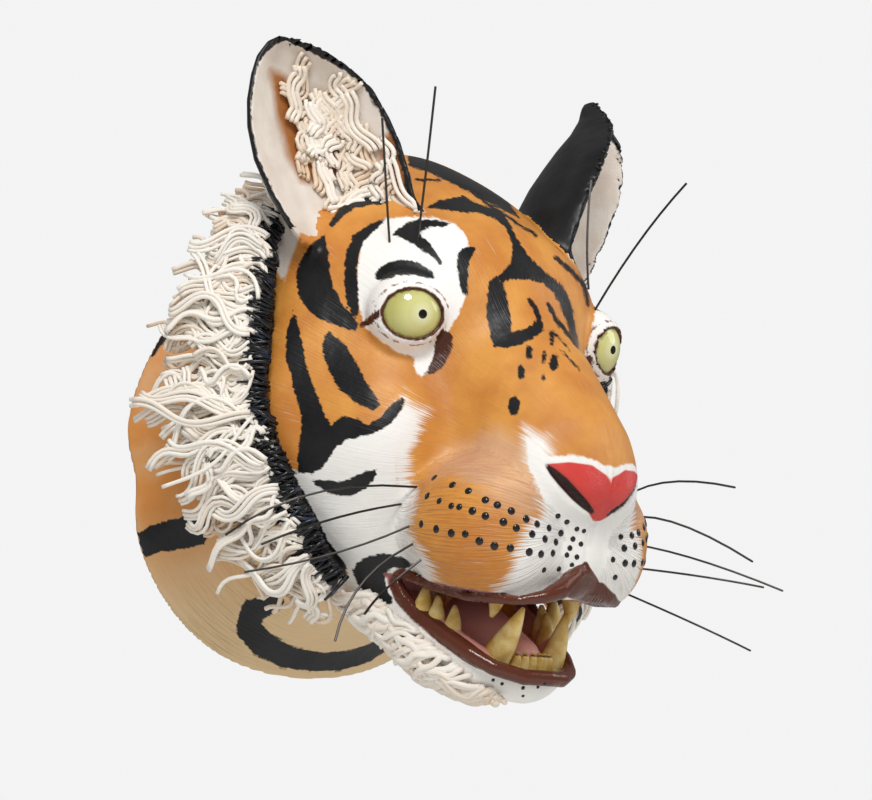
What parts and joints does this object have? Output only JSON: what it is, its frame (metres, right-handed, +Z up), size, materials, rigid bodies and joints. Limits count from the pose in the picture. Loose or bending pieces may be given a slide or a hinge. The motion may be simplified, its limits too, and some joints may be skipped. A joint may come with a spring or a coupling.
{
  "type": "ceramic tiger head",
  "caption": "Hand-built ceramic tiger head with an open mouth, clay fur and wire whiskers, hollow behind, that hangs on a wall by its flared neck.",
  "frame": {"origin": "middle of the neck's rim, in the plane of the wall that it hangs on", "axes": "+Y into the wall, so the head looks along -Y; +Z up; +X towards the tiger's left ear"},
  "size_m": [0.3958, 0.3162, 0.4531],
  "materials": {
    "painted_ceramic": "painted with underglaze, satin to glossy",
    "whisker_wire": "dark drawn wire"
  },
  "bodies": {
    "root": {"tiger_head": "painted_ceramic", "right_cheek_whisker_1": "whisker_wire", "right_cheek_whisker_2": "whisker_wire", "right_cheek_whisker_3": "whisker_wire", "right_cheek_whisker_4": "whisker_wire", "right_cheek_whisker_5": "whisker_wire", "left_cheek_whisker_1": "whisker_wire", "left_cheek_whisker_2": "whisker_wire", "left_cheek_whisker_3": "whisker_wire", "left_cheek_whisker_4": "whisker_wire", "left_cheek_whisker_5": "whisker_wire", "right_brow_whisker_1": "whisker_wire", "right_brow_whisker_2": "whisker_wire", "left_brow_whisker_1": "whisker_wire", "left_brow_whisker_2": "whisker_wire"}
  },
  "joints": []
}
